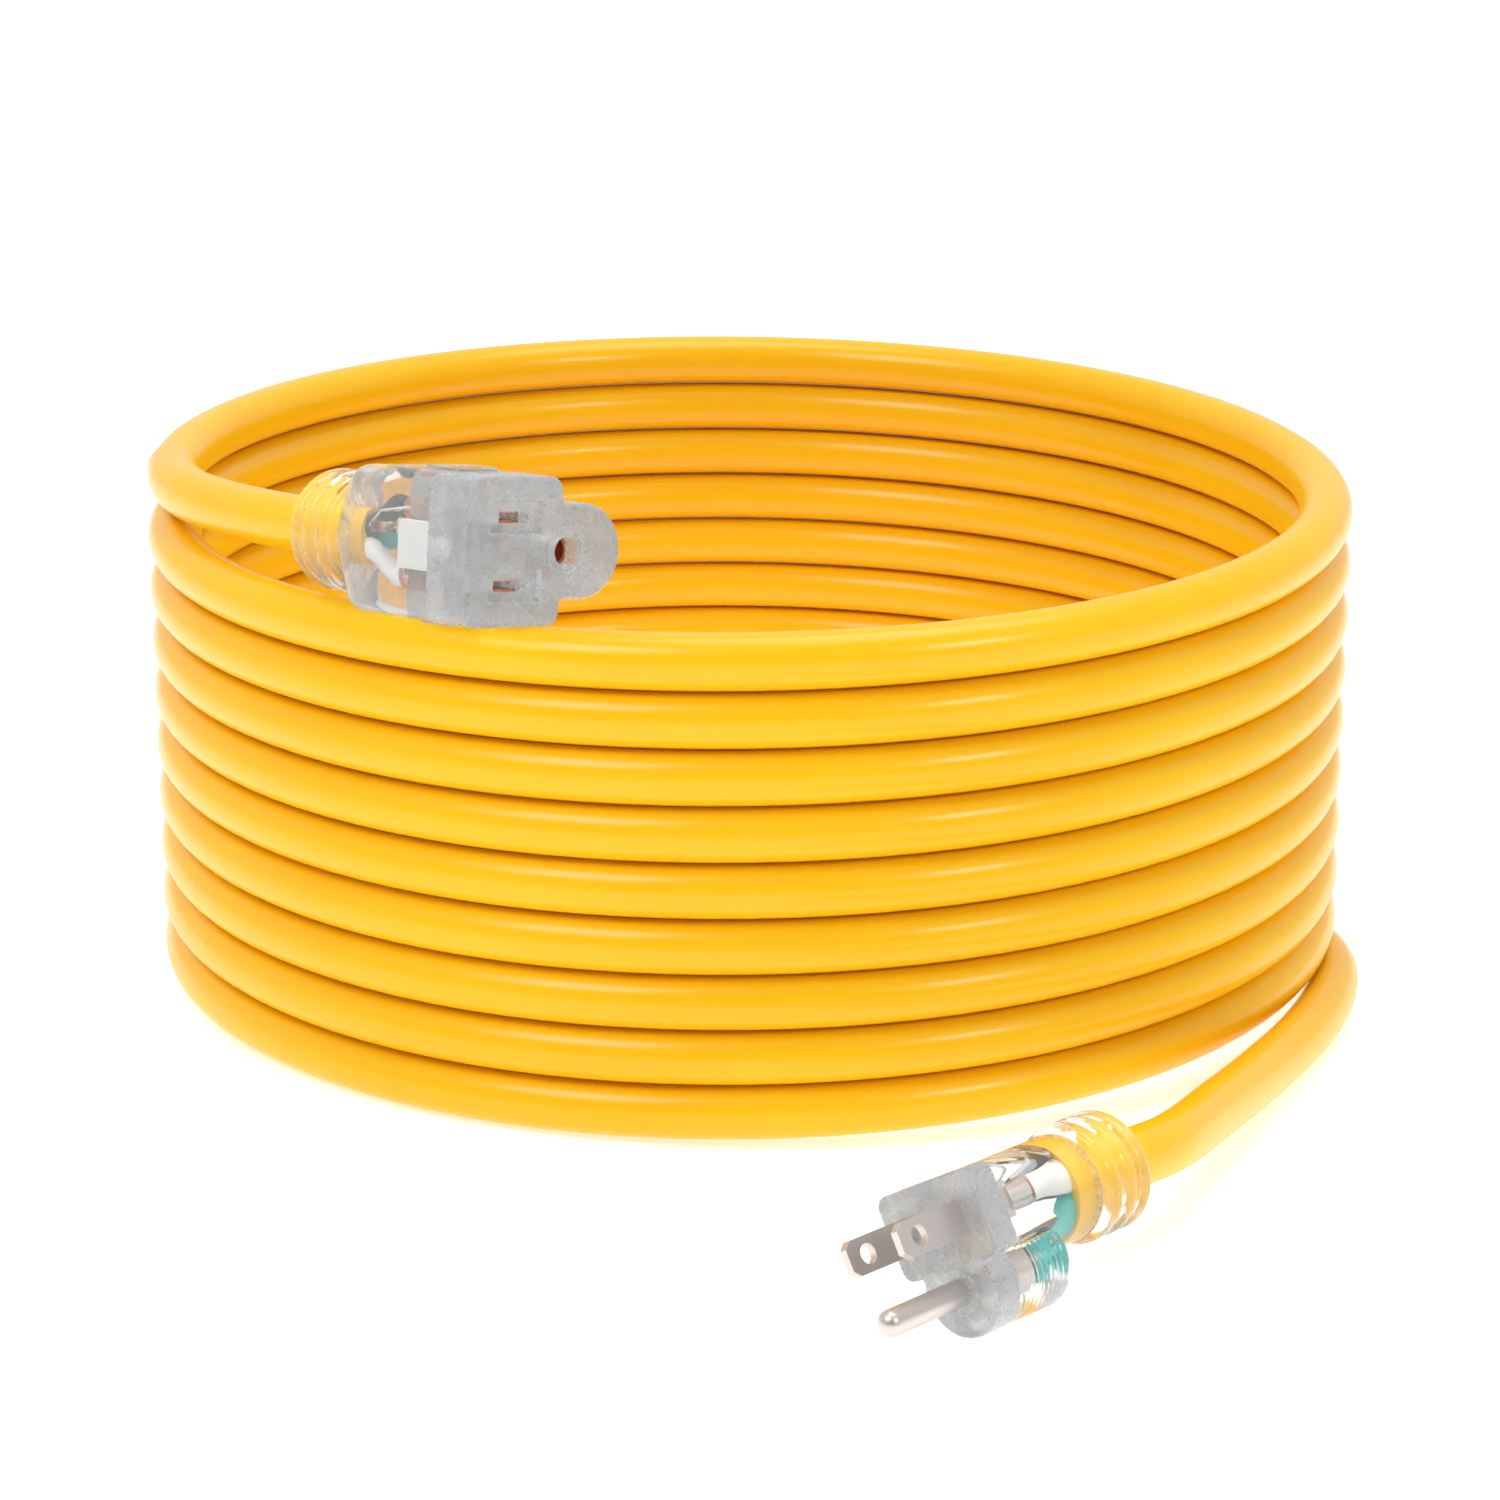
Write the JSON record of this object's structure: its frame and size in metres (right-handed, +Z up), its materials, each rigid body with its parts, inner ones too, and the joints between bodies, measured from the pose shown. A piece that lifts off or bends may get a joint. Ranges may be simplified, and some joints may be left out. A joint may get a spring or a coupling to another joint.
{
  "type": "extension cord",
  "caption": "Yellow grounded extension cord wound into a standing coil, with a clear plug on the floor and a clear lighted connector resting on the coil's front rim.",
  "frame": {"origin": "on the floor, at the middle of the whole object's bounding box", "axes": "+Z up, -Y towards the front where the plug lies, +X to the right seen from the front"},
  "size_m": [0.2594, 0.3586, 0.1315],
  "materials": {
    "cord_jacket": "glossy yellow PVC",
    "frosted_plastic": "frosted grey PVC",
    "clear_plastic": "clear moulded PVC",
    "nickel_plate": "nickel plate",
    "copper": "bright copper",
    "black_insulation": "PVC insulation",
    "white_insulation": "PVC insulation",
    "green_insulation": "PVC insulation",
    "lamp_lens": "clear lens",
    "pale_plastic": "moulded plastic",
    "resistor_body": "lacquered",
    "tinned_wire": "tinned"
  },
  "bodies": {
    "root": {"cord_coil": "cord_jacket", "cord_lead_connector": "cord_jacket", "cord_lead_plug": "cord_jacket", "plug_face_block": "frosted_plastic", "plug_shell": "clear_plastic", "plug_collar": "clear_plastic", "plug_blade_line": "nickel_plate", "plug_blade_neutral": "nickel_plate", "plug_ground_pin": "nickel_plate", "plug_jacket_end": "cord_jacket", "plug_wire_line": "black_insulation", "plug_wire_neutral": "white_insulation", "plug_wire_ground": "green_insulation", "plug_strand_ends": "copper", "plug_lamp": "lamp_lens", "plug_lamp_resistor": "resistor_body", "plug_lamp_leads": "tinned_wire", "connector_face_block": "frosted_plastic", "connector_contact_carrier": "pale_plastic", "connector_shell": "clear_plastic", "connector_collar": "clear_plastic", "connector_contact_line": "copper", "connector_contact_neutral": "copper", "connector_contact_ground": "copper", "connector_jacket_end": "cord_jacket", "connector_wire_line": "black_insulation", "connector_wire_neutral": "white_insulation", "connector_wire_ground": "green_insulation", "connector_strand_ends": "copper", "connector_lamp_holder": "pale_plastic", "connector_lamp": "lamp_lens", "connector_lamp_resistor": "resistor_body", "connector_lamp_leads": "tinned_wire"}
  },
  "joints": []
}
